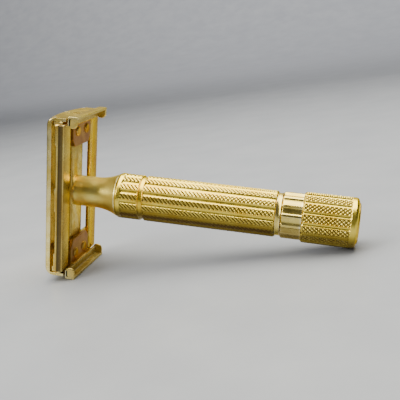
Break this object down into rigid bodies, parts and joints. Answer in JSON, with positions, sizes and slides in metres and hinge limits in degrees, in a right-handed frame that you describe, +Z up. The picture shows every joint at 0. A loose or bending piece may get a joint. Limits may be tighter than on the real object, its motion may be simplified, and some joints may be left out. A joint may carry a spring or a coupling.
{
  "type": "safety razor",
  "caption": "Twist-to-open double-edge safety razor with a fluted metal handle; turning the end knob lifts a rod that opens two doors.",
  "frame": {"origin": "centre of the bounding box in plan, on the surface the razor lies on", "axes": "+X from the head to the knob end, +Y across the head, +Z up; the razor lies on its knob rim and the lower end cap's corners"},
  "size_m": [0.0832, 0.0246, 0.0427],
  "materials": {
    "gold_plate": "polished gold plate, lightly worn",
    "pale_gold_plate": "bright pale gold plate",
    "brass_inner": "plain brass",
    "steel_inner": "plain machined steel"
  },
  "bodies": {
    "razor_frame": {"handle_tube": "gold_plate", "neck": "gold_plate", "lower_bush": "brass_inner", "rod_guide": "brass_inner", "thrust_washer": "pale_gold_plate", "guard_plate": "gold_plate", "center_bar": "gold_plate", "end_cap_upper": "pale_gold_plate", "end_cap_lower": "pale_gold_plate", "end_cap_rivets": "gold_plate", "hinge_pins": "steel_inner"},
    "knob": {"knob_shell": "gold_plate", "knob_collar": "pale_gold_plate", "knob_end_disc": "gold_plate", "knob_rivet": "brass_inner", "drive_sleeve": "brass_inner", "retaining_clip": "steel_inner"},
    "lifter": {"push_rod": "steel_inner", "lift_screw": "steel_inner", "rod_key": "steel_inner", "crosshead": "brass_inner", "rod_rivet": "brass_inner"},
    "near_door": {"door_near": "pale_gold_plate"},
    "far_door": {"door_far": "pale_gold_plate"}
  },
  "joints": [
    {"name": "knob_turn", "type": "hinge", "parent": "razor_frame", "child": "knob", "pos_m": [0.03082, 0, 0.00814], "axis": [0.9778, 0, -0.2094], "range_deg": [0, 500]},
    {"name": "rod_lift", "type": "slide", "parent": "razor_frame", "child": "lifter", "axis": [-0.9778, 0, 0.2094], "range_m": [0, 0.00402]},
    {"name": "near_door_open", "type": "hinge", "parent": "razor_frame", "child": "near_door", "pos_m": [-0.03459, -0.0099, 0.02215], "axis": [0.2094, 0, 0.9778], "range_deg": [0, 70.02]},
    {"name": "far_door_open", "type": "hinge", "parent": "razor_frame", "child": "far_door", "pos_m": [-0.03459, 0.0099, 0.02215], "axis": [-0.2094, 0, -0.9778], "range_deg": [0, 70.02]}
  ],
  "couplings": [
    {"joint": "rod_lift", "follows": "knob_turn", "m_per_rad": 0.00045837},
    {"joint": "near_door_open", "follows": "knob_turn", "ratio": 0.14},
    {"joint": "far_door_open", "follows": "knob_turn", "ratio": 0.14}
  ]
}
